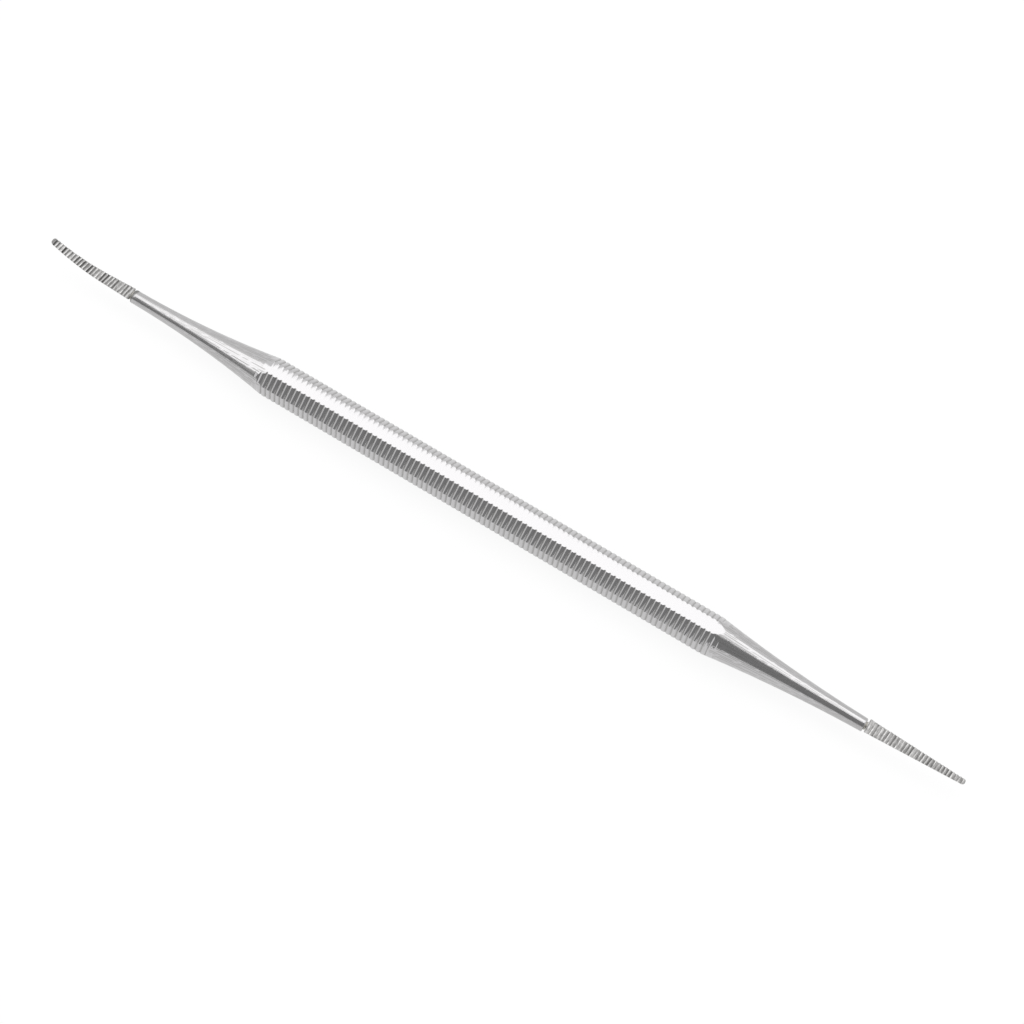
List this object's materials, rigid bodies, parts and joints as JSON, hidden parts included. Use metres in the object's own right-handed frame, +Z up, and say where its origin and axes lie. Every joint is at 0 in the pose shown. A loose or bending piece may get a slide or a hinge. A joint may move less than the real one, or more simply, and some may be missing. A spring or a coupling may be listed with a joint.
{
  "type": "ingrown toenail lifter",
  "caption": "Slim double-ended steel nail lifter and file: grooved octagonal grip, hollow tapers, a curved toothed blade at one end and a straight one at the other.",
  "frame": {"origin": "midway between the two tips, on the surface the tool rests on", "axes": "+X along the tool towards the straight file, +Z up, out of the smooth facet on the toothed side of the blades"},
  "size_m": [0.1618, 0.006, 0.006],
  "materials": {
    "handle_steel": "polished stainless steel, bright, with cross grooves on six facets",
    "file_steel": "stainless steel, satin on the backs, cut teeth on the flat faces",
    "solder": null
  },
  "bodies": {
    "root": {"handle": "handle_steel", "curved_file": "file_steel", "straight_file": "file_steel", "curved_end_solder": "solder", "straight_end_solder": "solder"}
  },
  "joints": []
}
